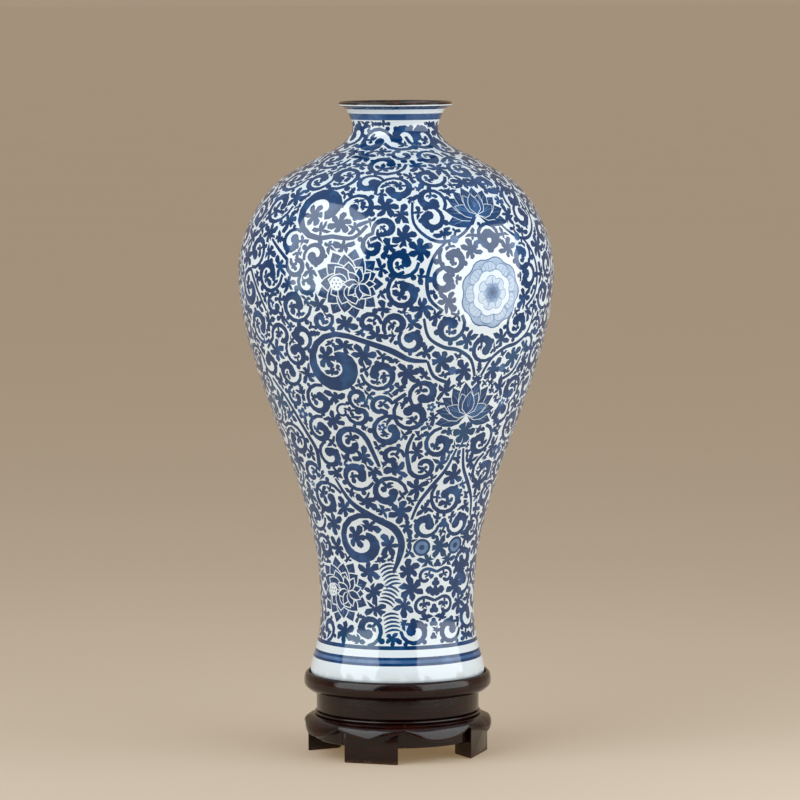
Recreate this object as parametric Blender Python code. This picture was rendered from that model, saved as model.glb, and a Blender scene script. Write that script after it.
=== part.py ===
"""A blue-and-white porcelain baluster vase standing on a round waisted hardwood stand.

Metres, +Z up. The origin is on the table under the middle of the stand. An azimuth is counted from the front (-Y)
towards the right (+X). Heights on the stand are above the table, and heights on the vase are above its own foot.
"""

import math

import bmesh
import bpy
from mathutils import Matrix

# ---------------------------------------------------------------- driving dimensions
GAP = 0.0003  # clearance between faces that touch on the real piece

VASE_HEIGHT = 0.340
VASE_SIDES = 40
# The outer line of the porcelain from the foot up to the lip: (height, radius).
OUTER_LINE = [
    (0.0035, 0.0517),
    (0.0080, 0.0510),
    (0.0160, 0.0487),
    (0.0280, 0.0463),
    (0.0480, 0.0458),
    (0.0800, 0.0492),
    (0.1200, 0.0604),
    (0.1600, 0.0750),
    (0.2000, 0.0877),
    (0.2330, 0.0931),
    (0.2560, 0.0913),
    (0.2760, 0.0831),
    (0.2930, 0.0698),
    (0.3065, 0.0475),
    (0.3145, 0.0322),
    (0.3230, 0.0255),
    (0.3305, 0.0268),
    (0.3350, 0.0291),
    (0.3366, 0.0309),
]
# The inner line from the bottom of the hollow up to the mouth: (height, radius).
INNER_LINE = [
    (0.0080, 0.0300),
    (0.0125, 0.0390),
    (0.0300, 0.0415),
    (0.0600, 0.0420),
    (0.1100, 0.0525),
    (0.1600, 0.0703),
    (0.2000, 0.0830),
    (0.2330, 0.0886),
    (0.2570, 0.0862),
    (0.2780, 0.0760),
    (0.2950, 0.0585),
    (0.3100, 0.0312),
    (0.3230, 0.0216),
    (0.3310, 0.0233),
]
RINGS_PER_SPAN = 2
LIP_RADIUS = 0.0335  # widest radius of the lip
LIP_ROUND = 0.0017  # radius of its rounded edge
LIP_STEPS = 9
FOOT_RING_OUTER = 0.0500
FOOT_RING_INNER = 0.0455
FOOT_RECESS = 0.0030
FOOT_EDGE = 0.0515  # start of the rounding under the wall
FOOT_EDGE_HEIGHT = 0.0016

VASE_SEAT = 0.0465  # height of the foot of the vase above the table
STAND_SIDES = 48
STAND_HEIGHT = 0.0485
TOP_UNDERSIDE = 0.0375
TOP_RADIUS = 0.0556
WELL_RADIUS = 0.0526
LINER_THICKNESS = 0.0012
LINER_RADIUS = 0.0520
WAIST_RADIUS = 0.0483
WAIST_BOTTOM = 0.0253
RING_INNER = 0.0370  # inner radius of every ring under the disc
TONGUE_INNER = 0.0415  # the waist's tongue, which sits in a groove of the disc
TONGUE_OUTER = 0.0440
TONGUE_HEIGHT = 0.0020
COLLAR_RADIUS = 0.0494
COLLAR_BOTTOM = 0.0234
SKIRT_TOP = COLLAR_BOTTOM - GAP
SKIRT_TOP_RADIUS = 0.0486
LEG_COUNT = 4
FRONT_LEG_AZIMUTH = -18.0  # degrees
PIECE_SPREAD = 45.0  # degrees between the middles of a leg and the next apron
LOBE_RADIUS = 0.0564  # reach of a lobe at its middle
JUNCTION_RADIUS = 0.0552  # reach of the skirt where two lobes meet
JUNCTION_HEIGHT = 0.0190
LAPPET_LOW = 0.0140  # tip of the pointed lappet on a leg
LOBE_LOW = 0.0128  # bottom of the round lobe on an apron
RAIL_RADIUS = 0.0500  # recessed face under the lobes
RAIL_BOTTOM = 0.0093
FOOT_FACE = 0.0508  # distance from the axis to the flat outer face of a foot
FOOT_HALF_WIDTH = 0.0168
FOOT_TOP = 0.0185
FOOT_BLUNT = 0.0022  # half the width of the cut-off inner edge of a foot
SKIRT_STEPS = 12  # cross sections of a leg or apron, less one
SKIRT_ARC_STEPS = 5

DOWEL_AT = 0.0435
DOWEL_RADIUS = 0.0022
DOWEL_BOTTOM = 0.0120
DOWEL_TOP = 0.0330
DOWEL_SIDES = 16

LACQUER = ((0.060, 0.012, 0.008), 0.18, 0.0)  # colour, roughness, metallic
RAW_WOOD = ((0.42, 0.26, 0.13), 0.65, 0.0)
FELT = ((0.10, 0.02, 0.02), 0.95, 0.0)
PORCELAIN = ((0.80, 0.84, 0.90), 0.08, 0.0)


# ---------------------------------------------------------------- helpers
def clear_scene():
    for obj in list(bpy.data.objects):
        bpy.data.objects.remove(obj, do_unlink=True)


def finish_material(name, finish):
    colour, roughness, metallic = finish
    material = bpy.data.materials.new(name)
    material.use_nodes = True
    shader = material.node_tree.nodes["Principled BSDF"]
    shader.inputs["Base Color"].default_value = (*colour, 1.0)
    shader.inputs["Roughness"].default_value = roughness
    shader.inputs["Metallic"].default_value = metallic
    return material


def place(name, mesh, material, parent, azimuth=0.0):
    obj = bpy.data.objects.new(name, mesh)
    bpy.context.scene.collection.objects.link(obj)
    obj.parent = parent
    obj.rotation_euler.z = math.radians(azimuth)
    if material.name not in mesh.materials:
        mesh.materials.append(material)
    return obj


def shade_round(mesh, crease=35.0):
    mesh.shade_smooth()
    mesh.set_sharp_from_angle(angle=math.radians(crease))


def joint_empty(name, height):
    empty = bpy.data.objects.new(name, None)
    bpy.context.scene.collection.objects.link(empty)
    empty.location.z = height
    return empty


def smooth_through(points, steps):
    """A Catmull-Rom curve through the points, with this many steps in each span."""
    ends = [points[0], *points, points[-1]]
    curve = []
    for a, b, c, d in zip(ends, ends[1:], ends[2:], ends[3:]):
        for step in range(steps):
            t = step / steps
            curve.append(
                tuple(
                    0.5
                    * (
                        2 * q
                        + (r - p) * t
                        + (2 * p - 5 * q + 4 * r - s) * t**2
                        + (3 * q - p - 3 * r + s) * t**3
                    )
                    for p, q, r, s in zip(a, b, c, d)
                )
            )
    return [*curve, points[-1]]


def arc(centre, radius, start, end, steps):
    """(height, radius) pairs on a round edge, by angle from straight out, in degrees."""
    height, reach = centre
    angles = [math.radians(start + (end - start) * i / steps) for i in range(steps + 1)]
    return [(height + radius * math.sin(a), reach + radius * math.cos(a)) for a in angles]


def turned(name, outline, sides, closed=False):
    """A mesh turned about Z from (height, radius) pairs that run down the outer side."""
    shape = bmesh.new()
    verts = [shape.verts.new((radius, 0.0, height)) for height, radius in outline]
    pairs = list(zip(verts, verts[1:]))
    if closed:
        pairs.append((verts[-1], verts[0]))
    edges = [shape.edges.new(pair) for pair in pairs]
    bmesh.ops.spin(
        shape,
        geom=[*verts, *edges],
        cent=(0.0, 0.0, 0.0),
        axis=(0.0, 0.0, 1.0),
        angle=math.tau,
        steps=sides,
        use_merge=True,
    )
    bmesh.ops.remove_doubles(shape, verts=shape.verts, dist=0.00001)
    bmesh.ops.recalc_face_normals(shape, faces=shape.faces)
    mesh = bpy.data.meshes.new(name)
    shape.to_mesh(mesh)
    shape.free()
    return mesh


def prism(name, corners, low, high):
    """A mesh of the (x, y) corners extruded from one height to another."""
    shape = bmesh.new()
    face = shape.faces.new([shape.verts.new((x, y, low)) for x, y in corners])
    risen = bmesh.ops.extrude_face_region(shape, geom=[face])
    tops = [g for g in risen["geom"] if isinstance(g, bmesh.types.BMVert)]
    bmesh.ops.translate(shape, verts=tops, vec=(0.0, 0.0, high - low))
    bmesh.ops.recalc_face_normals(shape, faces=shape.faces)
    mesh = bpy.data.meshes.new(name)
    shape.to_mesh(mesh)
    shape.free()
    return mesh


def pin(name, at, radius, low, high):
    """A round pin parallel to Z, standing in front of the axis."""
    shape = bmesh.new()
    bmesh.ops.create_cone(
        shape,
        cap_ends=True,
        segments=DOWEL_SIDES,
        radius1=radius,
        radius2=radius,
        depth=high - low,
        matrix=Matrix.Translation((0.0, -at, (low + high) / 2)),
    )
    mesh = bpy.data.meshes.new(name)
    shape.to_mesh(mesh)
    shape.free()
    return mesh


def combined(name, mesh, steps):
    """The mesh after Boolean steps, each (operation, other mesh, azimuth of the other in degrees)."""
    target = bpy.data.objects.new(name, mesh)
    bpy.context.scene.collection.objects.link(target)
    others = []
    for operation, other_mesh, azimuth in steps:
        other = bpy.data.objects.new(f"{name}_tool", other_mesh)
        other.rotation_euler.z = math.radians(azimuth)
        other.hide_render = True
        other.display_type = "WIRE"
        bpy.context.scene.collection.objects.link(other)
        modifier = target.modifiers.new(operation.title(), "BOOLEAN")
        modifier.operation = operation
        modifier.solver = "EXACT"
        modifier.object = other
        others.append(other)
    graph = bpy.context.evaluated_depsgraph_get()
    result = bpy.data.meshes.new_from_object(target.evaluated_get(graph), depsgraph=graph)
    result.name = name
    for obj in (target, *others):
        bpy.data.objects.remove(obj, do_unlink=True)
    return result


# ---------------------------------------------------------------- the vase
def vase_mesh():
    """The porcelain shell: up the inside, over the lip, down the outside and in under the foot ring."""
    lip_centre = (VASE_HEIGHT - LIP_ROUND, LIP_RADIUS - LIP_ROUND)
    inside = smooth_through([(INNER_LINE[0][0], 0.0), *INNER_LINE], RINGS_PER_SPAN)
    lip = arc(lip_centre, LIP_ROUND, 180.0, -22.5, LIP_STEPS)
    outside = smooth_through(OUTER_LINE, RINGS_PER_SPAN)[::-1]
    under = [
        (FOOT_EDGE_HEIGHT, FOOT_EDGE),
        (0.0, FOOT_RING_OUTER),
        (0.0, FOOT_RING_INNER),
        (FOOT_RECESS, FOOT_RING_INNER - 0.0008),
        (FOOT_RECESS, 0.0),
    ]
    mesh = turned("vase_body", [*inside, *lip, *outside, *under], VASE_SIDES)
    shade_round(mesh)
    return mesh


# ---------------------------------------------------------------- the stand
def stand_top_mesh():
    """The disc: a well for the vase on top, a rounded edge, and a groove under it for the waist's tongue."""
    floor = VASE_SEAT - LINER_THICKNESS - 2 * GAP
    outline = [
        (floor, 0.0),
        (floor, WELL_RADIUS),
        (STAND_HEIGHT - 0.0008, WELL_RADIUS),
        (STAND_HEIGHT, WELL_RADIUS + 0.0008),
        (STAND_HEIGHT, TOP_RADIUS - 0.0021),
        (STAND_HEIGHT - 0.0009, TOP_RADIUS - 0.0009),
        (STAND_HEIGHT - 0.0030, TOP_RADIUS - 0.0002),
        (STAND_HEIGHT - 0.0060, TOP_RADIUS),
        (TOP_UNDERSIDE + 0.0026, TOP_RADIUS - 0.0005),
        (TOP_UNDERSIDE + 0.0010, TOP_RADIUS - 0.0020),
        (TOP_UNDERSIDE, TOP_RADIUS - 0.0046),
        (TOP_UNDERSIDE, TONGUE_OUTER + GAP),
        (TOP_UNDERSIDE + TONGUE_HEIGHT, TONGUE_OUTER + GAP),
        (TOP_UNDERSIDE + TONGUE_HEIGHT, TONGUE_INNER - GAP),
        (TOP_UNDERSIDE, TONGUE_INNER - GAP),
        (TOP_UNDERSIDE, 0.0),
    ]
    mesh = turned("stand_top", outline, STAND_SIDES)
    shade_round(mesh)
    return mesh


def waist_ring_mesh(dowel_hole):
    """The drum, with a tongue on top and a blind hole over each leg."""
    top = TOP_UNDERSIDE - GAP
    outline = [
        (top, TONGUE_INNER),
        (top + TONGUE_HEIGHT, TONGUE_INNER),
        (top + TONGUE_HEIGHT, TONGUE_OUTER),
        (top, TONGUE_OUTER),
        (top, WAIST_RADIUS),
        (WAIST_BOTTOM + 0.0008, WAIST_RADIUS),
        (WAIST_BOTTOM, WAIST_RADIUS - 0.0008),
        (WAIST_BOTTOM, RING_INNER),
        (top, RING_INNER),
    ]
    drum = turned("waist_drum", outline, STAND_SIDES, closed=True)
    mesh = combined("waist_ring", drum, [("DIFFERENCE", dowel_hole, a) for a in leg_azimuths()])
    shade_round(mesh)
    return mesh


def collar_mesh(dowel_hole):
    """The bead between waist and skirt, with a hole through it over each leg."""
    top = WAIST_BOTTOM - GAP
    half = (top - COLLAR_BOTTOM) / 2
    bead = arc((COLLAR_BOTTOM + half, COLLAR_RADIUS - half), half, 90.0, -90.0, 4)
    outline = [(top, RING_INNER), *bead, (COLLAR_BOTTOM, RING_INNER)]
    ring = turned("collar_bead", outline, STAND_SIDES, closed=True)
    mesh = combined("collar_moulding", ring, [("DIFFERENCE", dowel_hole, a) for a in leg_azimuths()])
    shade_round(mesh)
    return mesh


def leg_azimuths():
    return [FRONT_LEG_AZIMUTH + 360.0 / LEG_COUNT * i for i in range(LEG_COUNT)]


def skirt_section(across, lobe_low, power):
    """(radius, height) pairs round one cross section; across runs from -1 to 1 over the piece."""
    reach = JUNCTION_RADIUS + (LOBE_RADIUS - JUNCTION_RADIUS) * math.cos(across * math.pi / 2)
    edge = lobe_low + (JUNCTION_HEIGHT - lobe_low) * abs(across) ** power
    lip = 0.0010
    section = [(RING_INNER, RAIL_BOTTOM), (RING_INNER, SKIRT_TOP)]
    for step in range(SKIRT_ARC_STEPS + 1):
        turn = math.pi / 2 * step / SKIRT_ARC_STEPS
        radius = SKIRT_TOP_RADIUS + (reach - SKIRT_TOP_RADIUS) * math.sin(turn)
        height = edge + lip + (SKIRT_TOP - edge - lip) * math.cos(turn)
        section.append((radius, height))
    section += [
        (reach - lip, edge),
        (RAIL_RADIUS, edge + lip / 2),
        (RAIL_RADIUS, RAIL_BOTTOM),
    ]
    return section


def skirt_mesh(name, lobe_low, power):
    """One eighth of the skirt, with its middle at the front."""
    gap_angle = GAP / 2 / RAIL_RADIUS
    half_angle = math.radians(PIECE_SPREAD / 2) - gap_angle
    shape = bmesh.new()
    rows = []
    for step in range(SKIRT_STEPS + 1):
        across = -1.0 + 2.0 * step / SKIRT_STEPS
        turn = across * half_angle
        section = skirt_section(across, lobe_low, power)
        rows.append([shape.verts.new((r * math.sin(turn), -r * math.cos(turn), z)) for r, z in section])
    for row, following in zip(rows, rows[1:]):
        for i in range(len(row)):
            j = (i + 1) % len(row)
            shape.faces.new((row[i], row[j], following[j], following[i]))
    shape.faces.new(rows[0])
    shape.faces.new(rows[-1])
    bmesh.ops.recalc_face_normals(shape, faces=shape.faces)
    mesh = bpy.data.meshes.new(name)
    shape.to_mesh(mesh)
    shape.free()
    return mesh


def leg_mesh(dowel_hole):
    """A pointed lappet over a straight foot, whose two inner sides were cut at 45 degrees to its face."""
    lappet = skirt_mesh("lappet", LAPPET_LOW, 1.0)
    depth = FOOT_HALF_WIDTH - FOOT_BLUNT
    corners = [
        (-FOOT_HALF_WIDTH, -FOOT_FACE),
        (FOOT_HALF_WIDTH, -FOOT_FACE),
        (FOOT_BLUNT, -FOOT_FACE + depth),
        (-FOOT_BLUNT, -FOOT_FACE + depth),
    ]
    foot = prism("foot", corners, 0.0, FOOT_TOP)
    mesh = combined("leg", lappet, [("UNION", foot, 0.0), ("DIFFERENCE", dowel_hole, 0.0)])
    shade_round(mesh, 30.0)
    return mesh


def apron_mesh():
    mesh = skirt_mesh("apron", LOBE_LOW, 2.2)
    shade_round(mesh, 30.0)
    return mesh


def liner_mesh():
    floor = VASE_SEAT - LINER_THICKNESS - GAP
    top = VASE_SEAT - GAP
    outline = [(top, 0.0), (top, LINER_RADIUS), (floor, LINER_RADIUS), (floor, 0.0)]
    return turned("well_liner", outline, STAND_SIDES)


# ---------------------------------------------------------------- assembly
def build():
    clear_scene()
    lacquer = finish_material("lacquer", LACQUER)
    raw_wood = finish_material("raw_wood", RAW_WOOD)
    felt = finish_material("felt", FELT)
    porcelain = finish_material("porcelain", PORCELAIN)

    stand = joint_empty("stand", 0.0)
    turning = joint_empty("vase_turn_axis", 0.0)
    lifting = joint_empty("vase_lift_axis", VASE_SEAT)
    turning.parent = stand
    lifting.parent = turning

    dowel_hole = pin("dowel_hole", DOWEL_AT, DOWEL_RADIUS + GAP, DOWEL_BOTTOM - GAP, DOWEL_TOP + GAP)
    place("stand_top", stand_top_mesh(), lacquer, stand)
    place("waist_ring", waist_ring_mesh(dowel_hole), lacquer, stand)
    place("collar_moulding", collar_mesh(dowel_hole), lacquer, stand)
    leg = leg_mesh(dowel_hole)
    apron = apron_mesh()
    dowel = pin("dowel", DOWEL_AT, DOWEL_RADIUS, DOWEL_BOTTOM, DOWEL_TOP)
    corners = ("front_right", "back_right", "back_left", "front_left")
    sides = ("front", "right", "back", "left")
    for side, corner, azimuth in zip(sides, corners, leg_azimuths()):
        place(f"leg_{side}", leg, lacquer, stand, azimuth)
        place(f"dowel_{side}", dowel, raw_wood, stand, azimuth)
        place(f"apron_{corner}", apron, lacquer, stand, azimuth + PIECE_SPREAD)
    place("well_liner", liner_mesh(), felt, turning)
    place("vase_body", vase_mesh(), porcelain, lifting)


build()
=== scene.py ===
import math

import bmesh
import bpy
import numpy as np
from mathutils import Matrix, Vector
from mathutils.geometry import delaunay_2d_cdt


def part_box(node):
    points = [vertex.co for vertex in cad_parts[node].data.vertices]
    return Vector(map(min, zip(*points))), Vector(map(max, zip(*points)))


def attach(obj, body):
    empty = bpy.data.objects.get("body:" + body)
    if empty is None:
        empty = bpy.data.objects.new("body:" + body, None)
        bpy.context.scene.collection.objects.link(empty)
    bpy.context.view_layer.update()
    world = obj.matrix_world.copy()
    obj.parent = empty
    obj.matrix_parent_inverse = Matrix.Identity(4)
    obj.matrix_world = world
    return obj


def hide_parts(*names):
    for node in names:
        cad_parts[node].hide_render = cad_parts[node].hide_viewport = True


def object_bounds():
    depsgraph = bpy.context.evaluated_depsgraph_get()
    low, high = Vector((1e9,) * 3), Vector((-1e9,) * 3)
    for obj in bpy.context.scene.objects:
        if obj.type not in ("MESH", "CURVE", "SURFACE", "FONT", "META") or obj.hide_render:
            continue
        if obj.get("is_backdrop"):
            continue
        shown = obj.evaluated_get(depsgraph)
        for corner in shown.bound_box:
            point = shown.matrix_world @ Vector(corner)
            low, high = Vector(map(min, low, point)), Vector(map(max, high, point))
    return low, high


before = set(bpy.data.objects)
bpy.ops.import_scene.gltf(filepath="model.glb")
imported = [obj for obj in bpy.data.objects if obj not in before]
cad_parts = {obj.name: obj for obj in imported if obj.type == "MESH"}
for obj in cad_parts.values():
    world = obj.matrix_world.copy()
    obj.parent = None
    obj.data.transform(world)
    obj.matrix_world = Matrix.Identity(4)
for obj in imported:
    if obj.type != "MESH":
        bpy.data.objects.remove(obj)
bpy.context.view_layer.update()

# ------------------------------------------------------------------ the skirt of the stand: four legs, four aprons
# Eight pieces of hardwood stand in a ring and are pegged up into the drum above. A leg is a pointed lappet
# over a straight foot, an apron a round lobe. They are sawn, carved, and built up with dark red-brown lacquer.
GAP = 0.0003  # left between pieces for the glue
collar_low, collar_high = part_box("collar_moulding")
SKIRT_TOP = collar_low.z - GAP
SKIRT_TOP_RADIUS = 0.0486
RING_INNER = 0.0370
LOBE_REACH = 0.0564
JUNCTION_REACH = 0.0552
JUNCTION_HEIGHT = 0.0190
LAPPET_LOW = 0.0140
LOBE_LOW = 0.0128
EDGE_ROUND = 0.0010
RAIL_RADIUS = 0.0500
RAIL_BOTTOM = 0.0093
FOOT_FACE = 0.0508
FOOT_HALF_WIDTH = 0.0168
FOOT_BLUNT = 0.0022
FOOT_TOP = 0.0185
FOOT_ROUND = 0.0006
FRONT_LEG_AZIMUTH = -18.0
PIECE_SPREAD = 45.0
PEG_AT = 0.0435  # from the axis of the vase
PEG_HOLE = 0.0025
PEG_LOW, PEG_HIGH = 0.0117, 0.0333
SKIRT_STEPS, SWELL_STEPS, ROUND_STEPS = 44, 18, 4  # along a piece, down its swell, round its edge
LAPPET_POINT, LOBE_FULLNESS = 1.0, 2.2  # how straight or how full the lower edge runs to its middle
FORM_CREASE, CARVED_CREASE = 38.0, 34.0  # degrees


class Shade:
    """A socket of a finish. Arithmetic on it adds Math nodes, and node() adds any other kind."""

    def __init__(self, tree, socket=None):
        self.tree = tree
        self.socket = socket

    def node(self, kind, settings=None, sockets=None, output=0):
        made = self.tree.nodes.new(f"ShaderNode{kind}")
        for name, value in (settings or {}).items():
            if name != "stops":
                setattr(made, name, value)
                continue
            while len(made.color_ramp.elements) < len(value):
                made.color_ramp.elements.new(1.0)
            for stop, (place, colour) in zip(made.color_ramp.elements, value):
                stop.position = place
                stop.color = (*colour, 1.0)
        for name, value in (sockets or {}).items():
            self.feed(made.inputs[name], value)
        return Shade(self.tree, made.outputs[output])

    def feed(self, socket, value):
        if isinstance(value, Shade):
            self.tree.links.new(value.socket, socket)
        else:
            socket.default_value = value

    def math(self, operation, first, second):
        return self.node("Math", {"operation": operation}, {0: first, 1: second})

    def __add__(self, other):
        return self.math("ADD", self, other)

    def __radd__(self, other):
        return self.math("ADD", other, self)

    def __sub__(self, other):
        return self.math("SUBTRACT", self, other)

    def __rsub__(self, other):
        return self.math("SUBTRACT", other, self)

    def __mul__(self, other):
        return self.math("MULTIPLY", self, other)

    def __rmul__(self, other):
        return self.math("MULTIPLY", other, self)

    def noise(self, where, scale, detail=3.0, roughness=0.5):
        sockets = {"Vector": where, "Scale": scale, "Detail": detail, "Roughness": roughness}
        return self.node("TexNoise", sockets=sockets)

    def stretched(self, where, factors):
        return self.node("VectorMath", {"operation": "MULTIPLY"}, {0: where, 1: factors})

    def band(self, value, low, high):
        """0 below low and 1 above high, smoothly."""
        settings = {"interpolation_type": "SMOOTHSTEP"}
        return self.node("MapRange", settings, {"Value": value, "From Min": low, "From Max": high})

    def blend(self, share, first, second):
        """The first colour where share is 0, and the second where it is 1."""
        sockets = {0: share, 6: (*first, 1.0) if isinstance(first, tuple) else first}
        sockets[7] = (*second, 1.0) if isinstance(second, tuple) else second
        return self.node("Mix", {"data_type": "RGBA"}, sockets, output=2)

    def relief(self, height, distance):
        return self.node("Bump", sockets={"Height": height, "Distance": distance, "Strength": 1.0})


def finish(name, painted):
    """A material: painted takes an empty Shade and gives the Principled BSDF's sockets."""
    material = bpy.data.materials.new(name)
    material.use_nodes = True
    sheet = Shade(material.node_tree)
    shader = material.node_tree.nodes["Principled BSDF"]
    for socket, value in painted(sheet).items():
        sheet.feed(shader.inputs[socket], value)
    return material


def lacquer_sockets(sheet):
    """Dark red-brown lacquer, a little thin on the open grain, hand-rubbed to a deep gloss."""
    where = sheet.node("TexCoord", output="Object")
    grain = sheet.noise(sheet.stretched(where, (1.0, 1.0, 9.0)), 70.0, 6.0, 0.62)
    pores = sheet.noise(sheet.stretched(where, (1.0, 1.0, 14.0)), 420.0, 2.0)
    cloud = sheet.noise(where, 34.0)
    dust = sheet.noise(where, 900.0, 2.0)
    height = sheet.node("SeparateXYZ", sockets={0: where}, output="Z")
    rubbed = sheet.band(height, 0.0030, 0.0)
    colour = sheet.blend(sheet.band(grain, 0.35, 0.70), (0.0040, 0.0006, 0.0004), (0.0190, 0.0025, 0.0010))
    colour = sheet.blend(sheet.band(cloud, 0.45, 0.72) * 0.5, colour, (0.010, 0.0025, 0.0018))
    colour = sheet.blend(rubbed * sheet.band(dust, 0.48, 0.60) * 0.7, colour, (0.13, 0.050, 0.024))
    ripple = sheet.noise(where, 150.0, 1.0)
    skin = ripple * 0.8 + sheet.band(pores, 0.62, 0.72) * -0.12 + dust * 0.04
    return {
        "Base Color": colour,
        "Roughness": 0.09 + 0.08 * cloud + 0.35 * rubbed,
        "Specular IOR Level": 0.4,
        "Normal": sheet.relief(skin, 0.00016),
    }


lacquer = finish("dark_lacquer", lacquer_sockets)


def new_piece(name, mesh, *materials):
    piece = bpy.data.objects.new(name, mesh)
    bpy.context.scene.collection.objects.link(piece)
    for material in materials:
        mesh.materials.append(material)
    return piece


def to_mesh(shape, name):
    bmesh.ops.recalc_face_normals(shape, faces=shape.faces)
    mesh = bpy.data.meshes.new(name)
    shape.to_mesh(mesh)
    shape.free()
    return mesh


def soften(mesh, crease=FORM_CREASE):
    mesh.shade_smooth()
    mesh.set_sharp_from_angle(angle=math.radians(crease))


def combined(name, mesh, steps):
    """The mesh after Boolean steps, each (operation, other mesh, azimuth of the other in degrees)."""
    target = bpy.data.objects.new(name, mesh)
    bpy.context.scene.collection.objects.link(target)
    others = []
    for operation, other_mesh, azimuth in steps:
        other = bpy.data.objects.new(f"{name}_tool", other_mesh)
        other.rotation_euler.z = math.radians(azimuth)
        bpy.context.scene.collection.objects.link(other)
        modifier = target.modifiers.new(operation.title(), "BOOLEAN")
        modifier.operation = operation
        modifier.solver = "EXACT"
        modifier.object = other
        others.append(other)
    graph = bpy.context.evaluated_depsgraph_get()
    result = bpy.data.meshes.new_from_object(target.evaluated_get(graph), depsgraph=graph)
    result.name = name
    for obj in (target, *others):
        bpy.data.objects.remove(obj, do_unlink=True)
    return result


def peg_hole_mesh():
    shape = bmesh.new()
    depth = PEG_HIGH - PEG_LOW
    middle = Matrix.Translation((0.0, -PEG_AT, (PEG_LOW + PEG_HIGH) / 2))
    bmesh.ops.create_cone(
        shape, cap_ends=True, segments=32, radius1=PEG_HOLE, radius2=PEG_HOLE, depth=depth, matrix=middle
    )
    return to_mesh(shape, "peg_hole")


def skirt_section(across, low, power):
    """(radius, height) pairs round one cross section; across runs from -1 to 1 over the piece."""
    reach = JUNCTION_REACH + (LOBE_REACH - JUNCTION_REACH) * math.cos(across * math.pi / 2)
    edge = low + (JUNCTION_HEIGHT - low) * abs(across) ** power
    section = [(RING_INNER, RAIL_BOTTOM), (RING_INNER, SKIRT_TOP)]
    for step in range(SWELL_STEPS):
        turn = math.pi / 2 * step / SWELL_STEPS
        radius = SKIRT_TOP_RADIUS + (reach - SKIRT_TOP_RADIUS) * math.sin(turn)
        height = edge + EDGE_ROUND + (SKIRT_TOP - edge - EDGE_ROUND) * math.cos(turn)
        section.append((radius, height))
    for step in range(ROUND_STEPS + 1):
        turn = math.pi / 2 * step / ROUND_STEPS
        radius = reach - EDGE_ROUND + EDGE_ROUND * math.cos(turn)
        section.append((radius, edge + EDGE_ROUND - EDGE_ROUND * math.sin(turn)))
    section += [(RAIL_RADIUS, edge + EDGE_ROUND / 2), (RAIL_RADIUS, RAIL_BOTTOM + FOOT_ROUND)]
    section.append((RAIL_RADIUS - FOOT_ROUND, RAIL_BOTTOM))
    return section


def skirt_mesh(name, low, power):
    """One eighth of the skirt, with its middle at the front."""
    half_angle = math.radians(PIECE_SPREAD / 2) - GAP / 2 / RAIL_RADIUS
    shape = bmesh.new()
    rows = []
    for step in range(SKIRT_STEPS + 1):
        across = -1.0 + 2.0 * step / SKIRT_STEPS
        turn = across * half_angle
        section = skirt_section(across, low, power)
        rows.append([shape.verts.new((r * math.sin(turn), -r * math.cos(turn), z)) for r, z in section])
    for row, following in zip(rows, rows[1:]):
        for i in range(len(row)):
            j = (i + 1) % len(row)
            shape.faces.new((row[i], row[j], following[j], following[i]))
    shape.faces.new(rows[0])
    shape.faces.new(rows[-1])
    return to_mesh(shape, name)


def foot_mesh():
    """A straight foot, whose two inner sides are cut at 45 degrees to its face, with eased edges."""
    depth = FOOT_HALF_WIDTH - FOOT_BLUNT
    corners = [
        (-FOOT_HALF_WIDTH, -FOOT_FACE),
        (FOOT_HALF_WIDTH, -FOOT_FACE),
        (FOOT_BLUNT, -FOOT_FACE + depth),
        (-FOOT_BLUNT, -FOOT_FACE + depth),
    ]
    shape = bmesh.new()
    face = shape.faces.new([shape.verts.new((x, y, 0.0)) for x, y in corners])
    risen = bmesh.ops.extrude_face_region(shape, geom=[face])
    tops = [g for g in risen["geom"] if isinstance(g, bmesh.types.BMVert)]
    bmesh.ops.translate(shape, verts=tops, vec=(0.0, 0.0, FOOT_TOP))
    bmesh.ops.recalc_face_normals(shape, faces=shape.faces)
    bmesh.ops.bevel(shape, geom=shape.edges[:], offset=FOOT_ROUND, segments=3, profile=0.5, affect="EDGES")
    return to_mesh(shape, "foot")


peg_hole = peg_hole_mesh()
lappet = skirt_mesh("lappet", LAPPET_LOW, LAPPET_POINT)
leg = combined("leg", lappet, [("UNION", foot_mesh(), 0.0), ("DIFFERENCE", peg_hole, 0.0)])
apron = skirt_mesh("apron", LOBE_LOW, LOBE_FULLNESS)
leg_azimuths = [FRONT_LEG_AZIMUTH + 90.0 * k for k in range(4)]
for side, corner, azimuth in zip(
    ("front", "right", "back", "left"), ("front_right", "back_right", "back_left", "front_left"), leg_azimuths
):
    for kind, name, mesh, turn in (
        ("leg", f"leg_{side}", leg, azimuth),
        ("apron", f"apron_{corner}", apron, azimuth + PIECE_SPREAD),
    ):
        turned_mesh = mesh.copy()
        turned_mesh.transform(Matrix.Rotation(math.radians(turn), 4, "Z"))
        soften(turned_mesh, CARVED_CREASE)
        piece = new_piece(f"carved_{name}", turned_mesh, lacquer)
        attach(piece, "stand")
        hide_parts(name)

# ------------------------------------------------------------------ collar moulding
# A thin turned bead of the same lacquered hardwood, glued between the skirt and the drum to hide their joint.
TURNED_SIDES = 160
EASE_POINTS = 5


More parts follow.
